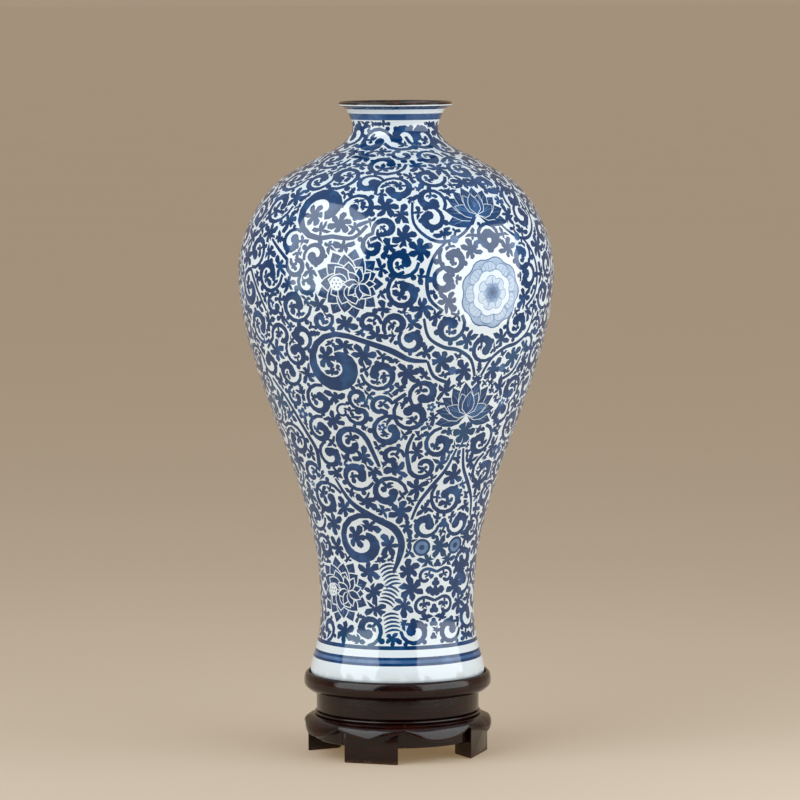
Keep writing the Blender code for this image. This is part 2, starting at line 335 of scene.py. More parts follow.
def turned(name, outline, closed=False):
    """A mesh turned about Z from (height, radius) pairs that run down the outer side."""
    shape = bmesh.new()
    verts = [shape.verts.new((radius, 0.0, height)) for height, radius in outline]
    pairs = list(zip(verts, verts[1:]))
    if closed:
        pairs.append((verts[-1], verts[0]))
    edges = [shape.edges.new(pair) for pair in pairs]
    axis = {"cent": (0, 0, 0), "axis": (0, 0, 1), "angle": math.tau}
    bmesh.ops.spin(shape, geom=[*verts, *edges], steps=TURNED_SIDES, use_merge=True, **axis)
    bmesh.ops.remove_doubles(shape, verts=shape.verts, dist=0.00001)
    return to_mesh(shape, name)


def eased(corners):
    """(height, radius) points of an outline whose (height, radius, ease) corners are rounded off."""
    points = []
    for i, (height, radius, ease) in enumerate(corners):
        corner = np.array((height, radius))
        if ease == 0.0:
            points.append(tuple(corner))
            continue
        before = np.array(corners[i - 1][:2]) - corner
        after = np.array(corners[(i + 1) % len(corners)][:2]) - corner
        start = corner + before / np.hypot(*before) * ease
        end = corner + after / np.hypot(*after) * ease
        for t in np.linspace(0.0, 1.0, EASE_POINTS):
            points.append(tuple((1 - t) ** 2 * start + 2 * t * (1 - t) * corner + t**2 * end))
    return points


def bored(name, mesh):
    return combined(name, mesh, [("DIFFERENCE", peg_hole, azimuth) for azimuth in leg_azimuths])


COLLAR_RADIUS = 0.0494
bead_half = (collar_high.z - collar_low.z) / 2
bead = [(collar_high.z, RING_INNER)]
for lean in np.radians(np.linspace(90.0, -90.0, 13)):
    height = collar_low.z + bead_half + bead_half * math.sin(lean)
    bead.append((height, COLLAR_RADIUS - bead_half + bead_half * math.cos(lean)))
bead.append((collar_low.z, RING_INNER))
collar_mesh = bored("collar_bead", turned("collar", bead, closed=True))
soften(collar_mesh)
collar = new_piece("collar_bead", collar_mesh, lacquer)
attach(collar, "stand")
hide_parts("collar_moulding")

# ------------------------------------------------------------------ waist
# The straight drum that carries the top, turned from one block of hardwood and lacquered, with a tongue on
# top that locks into the disc.
WAIST_RADIUS = 0.0483
TONGUE_INNER, TONGUE_OUTER = 0.0415, 0.0440
waist_low, waist_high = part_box("waist_ring")
TONGUE_HEIGHT = 0.0020
drum_top = waist_high.z - TONGUE_HEIGHT
drum = eased(
    [
        (drum_top, TONGUE_INNER, 0.0),
        (waist_high.z, TONGUE_INNER, 0.0002),
        (waist_high.z, TONGUE_OUTER, 0.0002),
        (drum_top, TONGUE_OUTER, 0.0),
        (drum_top, WAIST_RADIUS, 0.0004),
        (waist_low.z, WAIST_RADIUS, 0.0012),
        (waist_low.z, RING_INNER, 0.0),
        (drum_top, RING_INNER, 0.0),
    ]
)
waist_mesh = bored("waist_drum", turned("waist", drum, closed=True))
soften(waist_mesh)
waist = new_piece("waist_drum", waist_mesh, lacquer)
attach(waist, "stand")
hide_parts("waist_ring")


# ------------------------------------------------------------------ pegs
# Four dowels of pale unfinished hardwood, each driven up through a leg and the collar into the drum.
def peg_sockets(sheet):
    where = sheet.node("TexCoord", output="Object")
    fibre = sheet.noise(sheet.stretched(where, (1.0, 1.0, 0.06)), 2600.0, 3.0)
    rings = sheet.noise(sheet.stretched(where, (1.0, 1.0, 0.15)), 600.0, 4.0)
    colour = sheet.blend(sheet.band(fibre, 0.40, 0.66), (0.50, 0.32, 0.17), (0.30, 0.17, 0.08))
    colour = sheet.blend(sheet.band(rings, 0.50, 0.60) * 0.5, colour, (0.22, 0.11, 0.05))
    return {"Base Color": colour, "Roughness": 0.55 + 0.20 * fibre, "Normal": sheet.relief(fibre, 0.00012)}


peg_wood = finish("bare_wood", peg_sockets)
for side in ("front", "right", "back", "left"):
    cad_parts[f"dowel_{side}"].data.materials[0] = peg_wood

# ------------------------------------------------------------------ top disc
# The round top, turned from hardwood with a soft outer edge and a shallow well that keeps the vase from
# sliding, lacquered, and glued down on the tongue of the drum.
TOP_RADIUS = 0.0556
WELL_RADIUS = 0.0526
TOP_UNDERSIDE = drum_top + GAP
liner_low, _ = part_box("well_liner")
_, top_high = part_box("stand_top")
WELL_FLOOR = liner_low.z - GAP
disc = eased(
    [
        (WELL_FLOOR, 0.0, 0.0),
        (WELL_FLOOR, WELL_RADIUS, 0.0003),
        (top_high.z, WELL_RADIUS, 0.0008),
        (top_high.z, TOP_RADIUS - 0.0021, 0.0004),
        (top_high.z - 0.0009, TOP_RADIUS - 0.0009, 0.0007),
        (top_high.z - 0.0034, TOP_RADIUS, 0.0016),
        (TOP_UNDERSIDE + 0.0032, TOP_RADIUS, 0.0018),
        (TOP_UNDERSIDE, TOP_RADIUS - 0.0036, 0.0014),
        (TOP_UNDERSIDE, TONGUE_OUTER + GAP, 0.0),
        (TOP_UNDERSIDE + TONGUE_HEIGHT, TONGUE_OUTER + GAP, 0.0),
        (TOP_UNDERSIDE + TONGUE_HEIGHT, TONGUE_INNER - GAP, 0.0),
        (TOP_UNDERSIDE, TONGUE_INNER - GAP, 0.0),
        (TOP_UNDERSIDE, 0.0, 0.0),
    ]
)
disc_mesh = turned("top_disc", disc)
soften(disc_mesh)
top_disc = new_piece("top_disc", disc_mesh, lacquer)
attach(top_disc, "stand")
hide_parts("stand_top")


# ------------------------------------------------------------------ liner
# A disc of wine-red wool felt, cut out and laid in the well, so that the bare foot ring of the vase doesn't
# scratch the lacquer.
def felt_sockets(sheet):
    where = sheet.node("TexCoord", output="Object")
    fibres = sheet.noise(where, 2400.0, 5.0, 0.7)
    lumps = sheet.noise(where, 160.0, 2.0)
    colour = sheet.blend(sheet.band(fibres, 0.36, 0.66), (0.055, 0.010, 0.011), (0.150, 0.028, 0.028))
    return {
        "Base Color": sheet.blend(lumps * 0.5, colour, (0.075, 0.016, 0.015)),
        "Roughness": 0.86 + 0.12 * fibres,
        "Sheen Weight": 0.6,
        "Sheen Roughness": 0.5,
        "Normal": sheet.relief(fibres + lumps * 1.5, 0.00025),
    }


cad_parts["well_liner"].data.materials[0] = finish("wool_felt", felt_sockets)

# ------------------------------------------------------------------ vase
# One piece of porcelain, thrown, trimmed and painted in cobalt under a clear glaze. The wall between the rings
# at its neck and foot is covered with scrolls, flowers and leaves. Its lip is dressed with iron-brown glaze.
VASE_HEIGHT = 0.340
# The wall from the foot up to the lip: (height above the foot, radius).
VASE_WALL = [
    (0.0035, 0.0517),
    (0.0080, 0.0510),
    (0.0160, 0.0487),
    (0.0280, 0.0463),
    (0.0480, 0.0458),
    (0.0800, 0.0492),
    (0.1200, 0.0604),
    (0.1600, 0.0750),
    (0.2000, 0.0877),
    (0.2330, 0.0931),
    (0.2560, 0.0913),
    (0.2760, 0.0831),
    (0.2930, 0.0698),
    (0.3065, 0.0475),
    (0.3145, 0.0322),
    (0.3230, 0.0255),
    (0.3305, 0.0268),
    (0.3350, 0.0291),
    (0.3366, 0.0309),
]
# The hollow from its bottom up to the mouth.
VASE_HOLLOW = [
    (0.0080, 0.0000),
    (0.0080, 0.0300),
    (0.0125, 0.0390),
    (0.0300, 0.0415),
    (0.0600, 0.0420),
    (0.1100, 0.0525),
    (0.1600, 0.0703),
    (0.2000, 0.0830),
    (0.2330, 0.0886),
    (0.2570, 0.0862),
    (0.2780, 0.0760),
    (0.2950, 0.0585),
    (0.3100, 0.0312),
    (0.3230, 0.0216),
    (0.3310, 0.0233),
]
LIP_RADIUS, LIP_ROUND = 0.0335, 0.0017
WALL_STEPS, HOLLOW_STEPS = 24, 5  # between one point and the next
REPEATS = 2
TILE = math.tau / REPEATS
TILE_START = -TILE / 2
CELL = TILE / 640
GAP_MM = 0.95  # the white left round a leaf
LOOK_MM = 0.25  # a step outwards when looking for paint
FAR_MM = 14.0  # no white place on the wall is wider than this
PANEL_AXIS = [(28.5, 50.0), (36.0, 233.0)]  # (azimuth in degrees, height in millimetres)
PANEL_HALF_WIDTH = math.radians(25.0)
PANEL_TOP = 0.295
vase_low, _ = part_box("vase_body")


def smooth_through(points, steps):
    """A Catmull-Rom curve through the points, with this many steps in each span."""
    p = np.array([points[0], *points, points[-1]], float)
    t = (np.arange(steps) / steps)[:, None]
    spans = [
        0.5 * (2 * b + (c - a) * t + (2 * a - 5 * b + 4 * c - d) * t**2 + (3 * b - a - 3 * c + d) * t**3)
        for a, b, c, d in zip(p, p[1:], p[2:], p[3:])
    ]
    return np.vstack([*spans, p[-1:]])


wall = smooth_through(VASE_WALL, WALL_STEPS)
# How far up the wall a point is, in radians of its own circle, so that shapes keep their form everywhere.
wall_step = np.hypot(*np.diff(wall, axis=0).T) * 2 / (wall[1:, 1] + wall[:-1, 1])
wall_rise = np.concatenate([[0.0], np.cumsum(wall_step)])


def rise_at(height):
    return np.interp(height, wall[:, 0], wall_rise)


def radius_at(rise):
    return np.interp(rise, wall_rise, wall[:, 1])


PAINT_LOW, PAINT_HIGH = rise_at(0.0225), rise_at(0.3296)
WHITE, PALE, WASH, SOFT, COBALT = 0.0, 0.2, 0.45, 0.8, 1.0
BRUSH_STEPS = 4  # of a stroke, between one point and the next
TURN_POINTS = 17  # in one turn of a scroll
brush_hand = np.random.default_rng(11)


def swept(line, widths):
    """The outline of a brush stroke along a line, as wide at each point as widths says."""
    way = np.gradient(line, axis=0)
    way /= np.maximum(np.hypot(way[:, 0], way[:, 1]), 1e-9)[:, None]
    side = np.stack([-way[:, 1], way[:, 0]], axis=1) * (np.asarray(widths) / 2)[:, None]
    return np.vstack([line + side, (line - side)[::-1]])


def round_shape(points, reach):
    """An outline round the origin, whose reach is a function of the angle."""
    angles = np.arange(points) * math.tau / points
    return np.stack([np.cos(angles), np.sin(angles)], axis=1) * (reach(angles) + 0 * angles)[:, None]


def turned_by(outline, angle):
    c, s = math.cos(angle), math.sin(angle)
    return outline @ np.array([[c, s], [-s, c]])


def at_place(outline_mm, place, angle=0.0):
    """A shape drawn in millimetres, turned and moved to an (azimuth, rise) place on the wall."""
    return np.array(place) + turned_by(outline_mm, angle) * 0.001 / radius_at(place[1])


def places(points):
    """(azimuth in degrees, height in millimetres) pairs as (azimuth, rise) points."""
    p = np.array(points, float)
    return np.stack([np.radians(p[:, 0]), rise_at(p[:, 1] / 1000)], axis=1)


class Painting:
    """The cobalt shapes on one repeat of the wall, unrolled, and a grid of the places that they take."""

    def __init__(self):
        self.shapes = []  # (outline, tone), the last on top
        self.columns = round(TILE / CELL)
        self.rows = int((PAINT_HIGH - PAINT_LOW) / CELL)
        self.taken = np.zeros((self.rows, self.columns), bool)
        self.cell_mm = radius_at(PAINT_LOW + (np.arange(self.rows) + 0.5) * CELL) * CELL * 1000

    def lay(self, outline, tone, claim=True):
        """Adds an outline of (azimuth, rise) points, and claims the cells inside it."""
        following = np.roll(outline, -1, axis=0)
        if (outline[:, 0] * following[:, 1] - following[:, 0] * outline[:, 1]).sum() < 0.0:
            outline = outline[::-1]
        self.shapes.append((outline, tone))
        if not claim:
            return
        low = np.floor((outline.min(0) - (TILE_START, PAINT_LOW)) / CELL).astype(int)
        high = np.ceil((outline.max(0) - (TILE_START, PAINT_LOW)) / CELL).astype(int)
        i = np.arange(low[0], high[0] + 1)
        j = np.arange(max(low[1], 0), min(high[1], self.rows))
        x = TILE_START + (i + 0.5) * CELL
        y = PAINT_LOW + (j + 0.5) * CELL
        inside = np.zeros((len(y), len(x)), bool)
        for (x0, y0), (x1, y1) in zip(outline, np.roll(outline, -1, axis=0)):
            rows = (y0 > y) != (y1 > y)
            if rows.any():
                crossing = x0 + (y[rows] - y0) * (x1 - x0) / (y1 - y0)
                inside[rows] ^= x[None, :] < crossing[:, None]
        up, along = np.nonzero(inside)
        self.taken[j[up], i[along] % self.columns] = True

    def room(self):
        """How far each cell is from anything painted, in millimetres."""
        free = ~self.taken
        free[0] = free[-1] = False
        far = np.zeros(self.taken.shape, np.int16)
        for step in range(int(FAR_MM / self.cell_mm.min()) + 1):
            if not free.any():
                break
            far += free
            near = free.copy()
            near[1:] &= free[:-1]
            near[:-1] &= free[1:]
            near &= np.roll(free, 1, axis=1) & np.roll(free, -1, axis=1)
            if step % 5 in (1, 3):  # takes in the corners too, so that the reach is round
                near[1:] &= np.roll(free, 1, axis=1)[:-1] & np.roll(free, -1, axis=1)[:-1]
                near[:-1] &= np.roll(free, 1, axis=1)[1:] & np.roll(free, -1, axis=1)[1:]
            free = near
        return far * self.cell_mm[:, None]

    def reach_from(self, place, angles, most_mm):
        """How far one can go from a place in each direction before meeting paint, in millimetres."""
        unit = 0.001 / radius_at(place[1])
        steps = np.arange(1, int(most_mm / LOOK_MM) + 1) * LOOK_MM
        x = place[0] + np.cos(angles)[:, None] * steps[None, :] * unit
        y = place[1] + np.sin(angles)[:, None] * steps[None, :] * unit
        i = np.floor((x - TILE_START) / CELL).astype(int) % self.columns
        j = np.floor((y - PAINT_LOW) / CELL).astype(int)
        hit = (j < 0) | (j >= self.rows) | self.taken[np.clip(j, 0, self.rows - 1), i]
        return steps[np.where(hit.any(1), hit.argmax(1), len(steps) - 1)]


painting = Painting()


# The right-hand panel is symmetric about a line that leans a little.
def panel_axis(rise):
    low, high = places(PANEL_AXIS)
    return low[0] + (rise - low[1]) * (high[0] - low[0]) / (high[1] - low[1])


def mirrored(line):
    return np.stack([2 * panel_axis(line[:, 1]) - line[:, 0], line[:, 1]], axis=1)


def stroke(line, widths, both=False):
    """A stroke along an (azimuth, rise) line; widths in millimetres are spread evenly along it."""
    even = np.linspace(0.0, 1.0, len(widths))
    spread = np.interp(np.linspace(0.0, 1.0, len(line)), even, widths) * 0.001 / radius_at(line[:, 1])
    painting.lay(swept(line, spread), COBALT)
    if both:
        painting.lay(swept(mirrored(line), spread), COBALT)


def brush(points, widths, both=False):
    """A stroke through (azimuth, height) points."""
    stroke(smooth_through(places(points), BRUSH_STEPS), widths, both)


def coil(place, reach, start, turns, hand, points, end=0.25):
    """A line that winds in from reach (mm) round a place, from the start angle."""
    t = np.linspace(0.0, 1.0, points)
    shrink = reach * (1 - (1 - end) * t**0.9) * 0.001 / radius_at(place[1])
    angle = start + hand * turns * math.tau * t
    return np.array(place) + np.stack([np.cos(angle), np.sin(angle)], axis=1) * shrink[:, None]


def scroll(azimuth, height, reach, start, turns, hand, widths, tail=(), both=False):
    """A big scroll that winds in round a point, after a tail of (azimuth, height) points if it has one."""
    place = places([(azimuth, height)])[0]
    line = coil(place, reach, math.radians(start), turns, hand, round(turns * TURN_POINTS))
    if tail:
        lead = smooth_through(np.vstack([places(tail), line[:1]]), BRUSH_STEPS)
        line = np.vstack([lead[:-1], line])
    stroke(line, widths, both)


def petal(length, width, points=5):
    t = np.linspace(0.0, 1.0, points)
    half = width / 2 * np.sin(np.pi * t**0.8) ** 0.8
    return np.vstack([np.stack([t * length, half], axis=1), np.stack([t * length, -half], axis=1)[-2:0:-1]])


def streak(start, end, *widths):
    """A short stroke that points outwards, in millimetres."""
    return swept(np.array([[start, 0.0], [end, 0.0]]), widths)


def lotus(azimuth, height, size, count, lean=0.0):
    """A bloom of dark pointed petals, edged in white; its rosette and its seed pod sit side by side."""
    place = places([(azimuth, height)])[0]
    for reach, wide, shift in ((1.00, 0.62, 0.00), (0.84, 0.58, 0.50), (0.60, 0.46, 0.25)):
        for k in range(count):
            angle = lean + (k + shift) * math.tau / count
            length = size * reach
            dark = petal(length - 1.5, size * wide - 1.3, 7) + (0.6, 0.0)
            painting.lay(at_place(petal(length, size * wide, 7), place, angle), WHITE)
            painting.lay(at_place(dark, place, angle), COBALT)
            vein = streak(length * 0.4, length * 0.8, 0.3, 0.15)
            painting.lay(at_place(vein, place, angle), WASH, claim=False)
    unit = 0.001 / radius_at(place[1])
    rosette = place + np.array([size * 0.30, 0.0]) * unit
    for k in range(8):
        angle = lean + k * math.tau / 8
        dark = petal(size * 0.40, size * 0.20) + (0.4, 0.0)
        painting.lay(at_place(petal(size * 0.46, size * 0.27), rosette, angle), WHITE, claim=False)
        painting.lay(at_place(dark, rosette, angle), COBALT, claim=False)
    pod = place - np.array([size * 0.34, 0.0]) * unit
    painting.lay(at_place(round_shape(12, lambda a: size * 0.19), pod), WHITE, claim=False)
    for k in range(7):
        seed = round_shape(5, lambda a: 0.5) + ((0.0, 0.0) if k == 6 else (2.3, 0.0))
        painting.lay(at_place(turned_by(seed, k * math.tau / 6), pod), COBALT, claim=False)


def peony(azimuth, height, size):
    """A full round bloom: a scalloped skirt of washed petals, a ring of white ones, and a dark heart."""
    place = places([(azimuth, height)])[0]

    def scallop(reach, lobes, dip, lean, tone):
        def wave(a):
            return reach * (1 - dip + dip * np.abs(np.cos(lobes / 2 * (a + lean))) ** 0.5)

        painting.lay(at_place(round_shape(lobes * 5, wave), place), tone, claim=False)

    def ruffle(reach, edge, lobes, dip, lean, tones):
        scallop(reach, lobes, dip, lean, tones[0])
        scallop(reach - edge, lobes, dip, lean, tones[1])

    painting.lay(at_place(round_shape(28, lambda a: size * 1.08), place), WHITE)
    ruffle(size, 0.8, 9, 0.15, 0.0, (0.80, 0.34))
    ruffle(size * 0.88, 0.6, 9, 0.17, 0.35, (0.62, 0.25))
    for k in range(9):
        angle = (k + 0.5) * math.tau / 9 - 0.35
        fold = streak(size * 0.5, size * 0.86, 2.0, 0.5)
        painting.lay(at_place(fold, place, angle), 0.50, claim=False)
        for side in (-0.16, 0.0, 0.16):
            crease = streak(size * 0.60, size * 0.84, 0.6, 0.2)
            painting.lay(at_place(crease, place, angle + math.pi / 9 + side), 0.42, claim=False)
    ruffle(size * 0.67, 0.6, 8, 0.20, 0.3, (0.55, 0.06))
    ruffle(size * 0.49, 0.5, 7, 0.22, 0.1, (0.50, 0.18))
    for k in range(9):
        crease = streak(size * 0.16, size * 0.42, 1.3, 0.4)
        painting.lay(at_place(crease, place, 0.2 + k * math.tau / 9), 0.42, claim=False)
    for reach, lean, tone in ((0.30, 0.0, 0.40), (0.24, 0.5, 0.55), (0.17, 0.9, 0.72), (0.08, 0.0, 0.95)):
        scallop(size * reach, 6, 0.30, lean, tone)


def side_flower(azimuth, height, size):
    """A dark bloom seen from the side, its petals fanned upwards round a paler cup."""
    place = places([(azimuth, height)])[0]
    outer = (1.0, 0.50, (-104, 104, -80, 80, -56, 56, -34, 34, -12, 12))
    inner = (0.7, 0.40, (-66, 66, -22, 22, 0))
    for reach, wide, fans in (outer, inner):
        for fan in fans:
            angle = math.pi / 2 + math.radians(fan)
            painting.lay(at_place(petal(size * reach, size * wide), place, angle), WHITE)
            dark = petal(size * reach - 1.0, size * wide - 0.8) + (0.5, 0.0)
            painting.lay(at_place(dark, place, angle), COBALT if reach == 1.0 else 0.86)
            for side in (-0.07, 0.07):
                vein = streak(size * reach * 0.35, size * reach * 0.8, 0.35, 0.15)
                painting.lay(at_place(vein, place, angle + side), WASH, claim=False)


lotus(-17, 238, 21.5, 9)
lotus(-46, 54, 21.0, 9, 0.3)
peony(36.5, 231.5, 21.3)
side_flower(34.5, 276, 22.0)
side_flower(32.5, 160, 21.0)

# The big scrolls left of the panel, from the shoulder down.
scroll(-31, 280, 19.0, -60, 1.02, -1, (2.2, 2.4, 2.8, 4.6, 7.4, 8.6, 5.4), tail=[(-11, 271), (-16, 264)])
widest = (1.8, 3.0, 3.8, 3.0, 3.6, 6.4, 9.6, 9.6, 6.0)
scroll(-24, 190, 20.0, 62, 1.08, 1, widest, tail=[(12, 193), (5, 194), (-3, 200)])
scroll(-4, 269, 7.5, 200, 0.90, -1, (2.0, 4.0, 4.0, 3.4))
scroll(0, 214, 8.0, 220, 0.90, -1, (2.0, 4.0, 4.0, 3.4))
scroll(-38, 248, 8.0, 160, 0.90, 1, (1.6, 2.8, 3.4, 3.0), tail=[(-53, 262)])
scroll(-48, 206, 9.0, 190, 0.85, -1, (1.8, 2.6, 3.2, 3.6), tail=[(-59, 198)])
scroll(-23, 144, 11.0, 10, 1.0, 1, (2.0, 3.2, 3.8, 4.6, 5.0, 4.0), tail=[(-9, 130)])
scroll(-23, 84, 18.0, 50, 1.05, 1, (1.8, 2.6, 3.2, 3.8, 6.0, 6.4, 4.4), tail=[(-4, 94), (-9, 98)])
scroll(-24, 163, 5.0, 60, 0.95, 1, (1.5, 1.6))
scroll(-7, 166, 7.5, 20, 0.85, 1, (2.2, 3.0, 3.2), tail=[(4, 174)])
scroll(14, 130, 8.5, 200, 0.90, 1, (2.0, 3.2, 3.2), tail=[(8, 150), (5, 140)])
scroll(-53, 124, 8.0, 20, 0.85, 1, (2.2, 3.2, 3.2), tail=[(-62, 180), (-55, 168), (-48, 150), (-44, 138)])
scroll(-66, 232, 12.0, 80, 1.0, 1, (1.8, 2.6, 3.4, 5.4, 5.4, 3.6), tail=[(-55, 220)])
brush([(-36, 122), (-28, 108), (-14, 99), (-2, 93), (3, 84), (1, 74), (-3, 66)], (1.4, 3.8, 4.6, 3.8, 1.6))

# The stems of the panel, in mirrored pairs, and the beads along its axis.
brush([(7, 284), (7, 272), (13, 263), (20, 262), (27, 267), (33, 276)], (1.5, 2.2, 1.6), both=True)
brush([(19, 262), (14, 254), (11, 241), (12, 229), (17, 222)], (1.5, 2.4, 1.8), both=True)
brush([(10, 218), (12, 207), (18, 201), (24, 199), (30, 193), (33, 183)], (1.6, 2.4, 1.8), both=True)
brush([(12, 193), (15, 184), (21, 180)], (1.6, 2.2, 2.2), both=True)
brush([(31, 140), (27, 128), (20, 118), (13, 108), (9, 98)], (1.6, 2.6, 1.5), both=True)
scroll(21, 63, 5.5, 60, 0.75, 1, (1.9, 2.2), tail=[(29.5, 66)], both=True)
scroll(19, 45, 6.5, 70, 0.75, 1, (1.9, 2.4), tail=[(28.5, 49)], both=True)
for ring_reach, ring_tone in ((5.4, COBALT), (3.9, 0.55), (1.7, COBALT)):
    eye = at_place(round_shape(14, lambda a: ring_reach), places([(17, 81)])[0])
    painting.lay(eye, ring_tone, claim=ring_reach > 5)
    painting.lay(mirrored(eye), ring_tone, claim=ring_reach > 5)
for height, size in ((95, 3.6), (71, 2.8), (60, 3.0), (44, 3.3), (36, 3.0), (28, 2.4)):
    rise = rise_at(height / 1000)
    bud = round_shape(12, lambda a: size * (0.6 + 0.4 * np.abs(np.cos(1.5 * (a - math.pi / 2)))))
    painting.lay(at_place(bud, (panel_axis(rise), rise)), COBALT)
for azimuth, height in ((22, 263), (22.5, 187)):
    bud = at_place(round_shape(10, lambda a: 2.7), places([(azimuth, height)])[0])
    painting.lay(bud, 0.72)
    painting.lay(mirrored(bud), 0.72)

# A long fern of short ribs between the lotus and the panel.
for foot, lean, ribs in (((-5, 64), 1.9, 6), ((-6, 52), 1.2, 5), ((-4, 36), 1.7, 5)):
    for k in range(ribs):
        t = np.linspace(-1.0, 1.0, 5)
        rib = swept(np.stack([1.4 * (1 - t**2) + k * 2.4 - ribs, 4.6 * t], axis=1), [0.6, 1.3, 1.5, 1.3, 0.6])
        painting.lay(at_place(rib, places([foot])[0], lean), COBALT)


def nearest_paint(place):
    """The direction in which paint is nearest."""
    angles = np.linspace(0.0, math.tau, 16, endpoint=False)
    return angles[painting.reach_from(place, angles, FAR_MM).argmin()]


def tendril(place, reach):
    """A thick stroke that leaves its neighbour, curls round a place and ends in a bud, with blunt leaves."""
    big = reach > 8.0
    reach = brush_hand.uniform(9.0, 13.0) if reach > 13.0 else reach
    hand = brush_hand.choice((-1, 1))
    width = 2.8 if big else 0.40 * reach
    unit = 0.001 / radius_at(place[1])
    points = 15 if big else 10
    line = coil(place, reach, nearest_paint(place), 1.0 if big else 0.78, hand, points, end=0.30)
    swells = [0.7, 1.1, 1.9, 1.5] if big else [0.7, 1.0, 1.2, 1.1]
    swell = np.interp(np.linspace(0, 1, points), [0, 0.4, 0.8, 1], swells)
    pieces = [(swept(line, swell * width * unit), COBALT)]
    pieces.append((round_shape(8, lambda a: width * (1.1 if big else 0.8)) * unit + line[-1], COBALT))
    for k in (2, 5, 8, 11) if big else (2, 5):
        out = line[k] - np.array(place)
        out = out / np.hypot(*out)
        size = brush_hand.uniform(1.3, 2.0)
        root = line[k] + out * (width * 0.5 + 0.4 * size) * unit
        pieces.append((round_shape(7, lambda a: size) * unit + root, COBALT))
    return pieces


FLORET_SHARE = 0.04
# One lobe of a leaf: how far round it each point lies, and how far out, from one notch to the next.
LEAF_LOBE = [(-0.38, 0.78), (-0.16, 1.0), (0.12, 1.0), (0.33, 0.84), (0.50, 0.42)]


def leaf(place, reach):
    """A leaf of blunt hooked lobes; its stalk touches the nearest paint, and the rest keeps a white edge."""
    lobes = 3 if reach < 2.3 else 4 if reach < 3.3 else 5 if reach < 4.4 else 6
    hand = brush_hand.choice((-1, 1))
    around, out = np.tile(np.array(LEAF_LOBE), (lobes, 1)).T
    first = np.repeat(np.arange(lobes), len(LEAF_LOBE))
    angles = nearest_paint(place) + hand * ((first + around) * math.tau / lobes + 0.30 * (out - 1.0))
    room = painting.reach_from(place, angles, 9.0) - GAP_MM
    size = np.clip(room, 0.5, 1.85 * reach) * out * brush_hand.uniform(0.9, 1.0, len(out))
    size[1:3] += GAP_MM + 0.4
    outline = np.stack([np.cos(angles), np.sin(angles)], axis=1) * size[:, None]
    return [(at_place(outline, place), COBALT)]


def floret(place, reach):
    """A small bloom of five petals round a pale eye."""
    size = reach - GAP_MM * 0.5
    petals = round_shape(20, lambda a: size * (0.62 + 0.38 * np.abs(np.cos(2.5 * a)) ** 0.5))
    return [(at_place(petals, place), 0.80), (at_place(round_shape(6, lambda a: size * 0.26), place), PALE)]


def leaf_or_floret(place, reach):
    return floret(place, reach) if brush_hand.random() < FLORET_SHARE and reach > 2.4 else leaf(place, reach)


def fill(least, kind, mirror=False):
    """Lays one shape at each place that has at least this much room, the roomiest first."""
    room = painting.room()
    peak = room >= least
    for up in (-1, 0, 1):
        for along in (-1, 0, 1):
            if up or along:
                peak &= room >= np.roll(room, (up, along), (0, 1))
    rows, columns = np.nonzero(peak)
    crowded = np.zeros_like(painting.taken)
    for k in np.argsort(-room[rows, columns] - brush_hand.uniform(0.0, 0.3, len(rows))):
        j, i = rows[k], columns[k]
        if crowded[j, i] or painting.taken[j, i]:
            continue
        place = np.array([TILE_START + (i + 0.5) * CELL, PAINT_LOW + (j + 0.5) * CELL])
        axis = panel_axis(place[1])
        off = (place[0] - axis) * radius_at(place[1]) * 1000
        in_panel = mirror and abs(place[0] - axis) < PANEL_HALF_WIDTH and place[1] < rise_at(PANEL_TOP)
        if in_panel and abs(off) < room[j, i] * 0.8:
            place[0] = axis
        elif in_panel and off > 0:
            continue
        span = int((room[j, i] + GAP_MM) / painting.cell_mm[j]) + 1
        near = np.arange(i - span, i + span) % painting.columns
        crowded[max(j - span, 0) : j + span, near] = True
        for outline, tone in kind(place, room[j, i]):
            painting.lay(outline, tone)
            if in_panel and off < 0:
                painting.lay(mirrored(outline), tone)


for mirror in (True, False):
    for least in (10.0, 7.2):
        fill(least, tendril, mirror)
for mirror in (True, False):
    for least in (5.2, 4.2, 3.6, 3.1, 2.7, 2.35, 2.1):
        fill(least, leaf_or_floret, mirror)

# The rings below the lip and above the foot: (low, high, tone), heights above the foot. Each has enough
# points along its edges to keep to the round wall.
RING_POINTS = 52
for low, high, tone in (
    (0.3357, 0.33655, COBALT),
    (0.3294, 0.3331, SOFT),
    (0.0206, 0.0229, COBALT),
    (0.0113, 0.0163, COBALT),
    (0.0129, 0.0147, 0.66),
):
    along = np.linspace(TILE_START - 0.1, TILE_START + TILE + 0.1, RING_POINTS)
    below = np.column_stack([along, np.full(RING_POINTS, rise_at(low))])
    above = np.column_stack([along[::-1], np.full(RING_POINTS, rise_at(high))])
    painting.shapes.append((np.vstack([below, above]), tone))

# The unrolled wall is cut into triangles along every outline, with a grid of points that keeps it round.
GRID_COLUMNS = 44
grid_rows = round(wall_rise[-1] / (TILE / GRID_COLUMNS))
points, outlines, tones = [], [], []
for outline, tone in painting.shapes:
    for shift in (-TILE, 0.0, TILE):
        moved = outline + (shift, 0.0)
        if moved[:, 0].max() > TILE_START and moved[:, 0].min() < TILE_START + TILE:
            outlines.append(range(len(points), len(points) + len(moved)))
            tones.append(tone)
            points.extend(moved)
borders = []
for row in range(grid_rows + 1):
    for column in range(GRID_COLUMNS + 1):
        index = len(points)
        points.append((TILE_START + TILE * column / GRID_COLUMNS, wall_rise[-1] * row / grid_rows))
        if row in (0, grid_rows) and column:
            borders.append((index - 1, index))
        if column in (0, GRID_COLUMNS) and row:
            borders.append((index - GRID_COLUMNS - 1, index))
flat, _, triangles, _, _, over = delaunay_2d_cdt(
    [tuple(map(float, p)) for p in points], borders, [list(o) for o in outlines], 0, 1e-5
)
flat = np.array([tuple(p) for p in flat])
triangles = np.array(triangles)
middles = flat[triangles].mean(axis=1)
